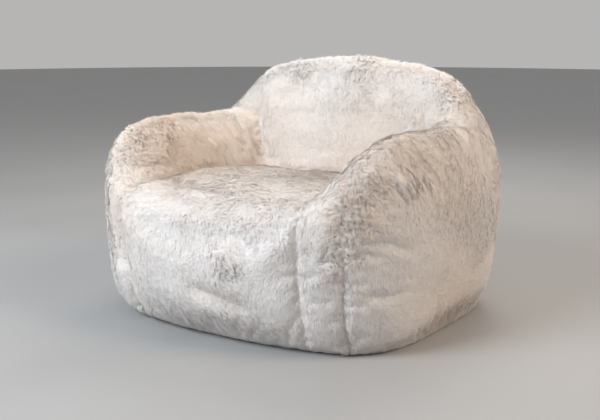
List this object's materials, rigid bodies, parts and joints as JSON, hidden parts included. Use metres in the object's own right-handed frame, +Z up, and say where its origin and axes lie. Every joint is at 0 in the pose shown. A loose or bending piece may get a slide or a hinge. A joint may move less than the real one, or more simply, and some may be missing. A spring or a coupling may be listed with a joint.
{
  "type": "bean bag chair",
  "caption": "Armchair-shaped bean bag in a panelled faux fur cover, with rounded arms, a low back, a zipped non-slip base and zipped inner liners full of beads.",
  "frame": {"origin": "bounding box centre in plan, on the floor plane the base rests on", "axes": "+Z up; the seat's open front faces -Y and the back is at +Y; -X is the left side seen from the front; the chair is the same on both sides of X = 0 apart from the zip sliders' rest places"},
  "size_m": [1.0978, 1.0402, 0.7838],
  "materials": {
    "fur": "long brushed pile, ivory tips over a taupe root",
    "base_cloth": "dark non-slip cloth over felt",
    "zip_tape": "woven herringbone tape",
    "zip_teeth": "satin nylon coil",
    "zip_metal": "satin metal",
    "liner_cloth": "plain woven lining",
    "beads": "expanded polystyrene beads"
  },
  "bodies": {
    "chair": {"base_panel": "base_cloth", "seat_panel": "fur", "back_inner_panel": "fur", "back_top_strip": "fur", "rear_panel": "fur", "left_side_panel": "fur", "right_side_panel": "fur", "left_arm_strip": "fur", "right_arm_strip": "fur", "left_arm_inner_panel": "fur", "right_arm_inner_panel": "fur", "cover_zip_tape_front": "zip_tape", "cover_zip_tape_rear": "zip_tape", "cover_zip_teeth": "zip_teeth", "cover_zip_stop_left": "zip_metal", "cover_zip_stop_right": "zip_metal", "seat_liner": "liner_cloth", "seat_fill": "beads", "seat_liner_zip": "zip_tape", "back_liner": "liner_cloth", "back_fill": "beads", "back_liner_zip": "zip_tape", "left_arm_liner": "liner_cloth", "left_arm_fill": "beads", "left_arm_liner_zip": "zip_tape", "right_arm_liner": "liner_cloth", "right_arm_fill": "beads", "right_arm_liner_zip": "zip_tape"},
    "cover_zip_slider_body": {"cover_zip_slider": "zip_metal"},
    "seat_liner_slider_body": {"seat_liner_slider": "zip_metal"},
    "back_liner_slider_body": {"back_liner_slider": "zip_metal"},
    "left_arm_liner_slider_body": {"left_arm_liner_slider": "zip_metal"},
    "right_arm_liner_slider_body": {"right_arm_liner_slider": "zip_metal"}
  },
  "joints": [
    {"name": "cover_zip_slide", "type": "slide", "parent": "chair", "child": "cover_zip_slider_body", "axis": [1, 0, 0], "range_m": [0, 0.585]},
    {"name": "seat_liner_zip_slide", "type": "slide", "parent": "chair", "child": "seat_liner_slider_body", "axis": [1, 0, 0], "range_m": [0, 0.31]},
    {"name": "back_liner_zip_slide", "type": "slide", "parent": "chair", "child": "back_liner_slider_body", "axis": [1, 0, 0], "range_m": [0, 0.31]},
    {"name": "left_arm_liner_zip_slide", "type": "slide", "parent": "chair", "child": "left_arm_liner_slider_body", "axis": [0, 1, 0], "range_m": [0, 0.31]},
    {"name": "right_arm_liner_zip_slide", "type": "slide", "parent": "chair", "child": "right_arm_liner_slider_body", "axis": [0, 1, 0], "range_m": [0, 0.31]}
  ]
}
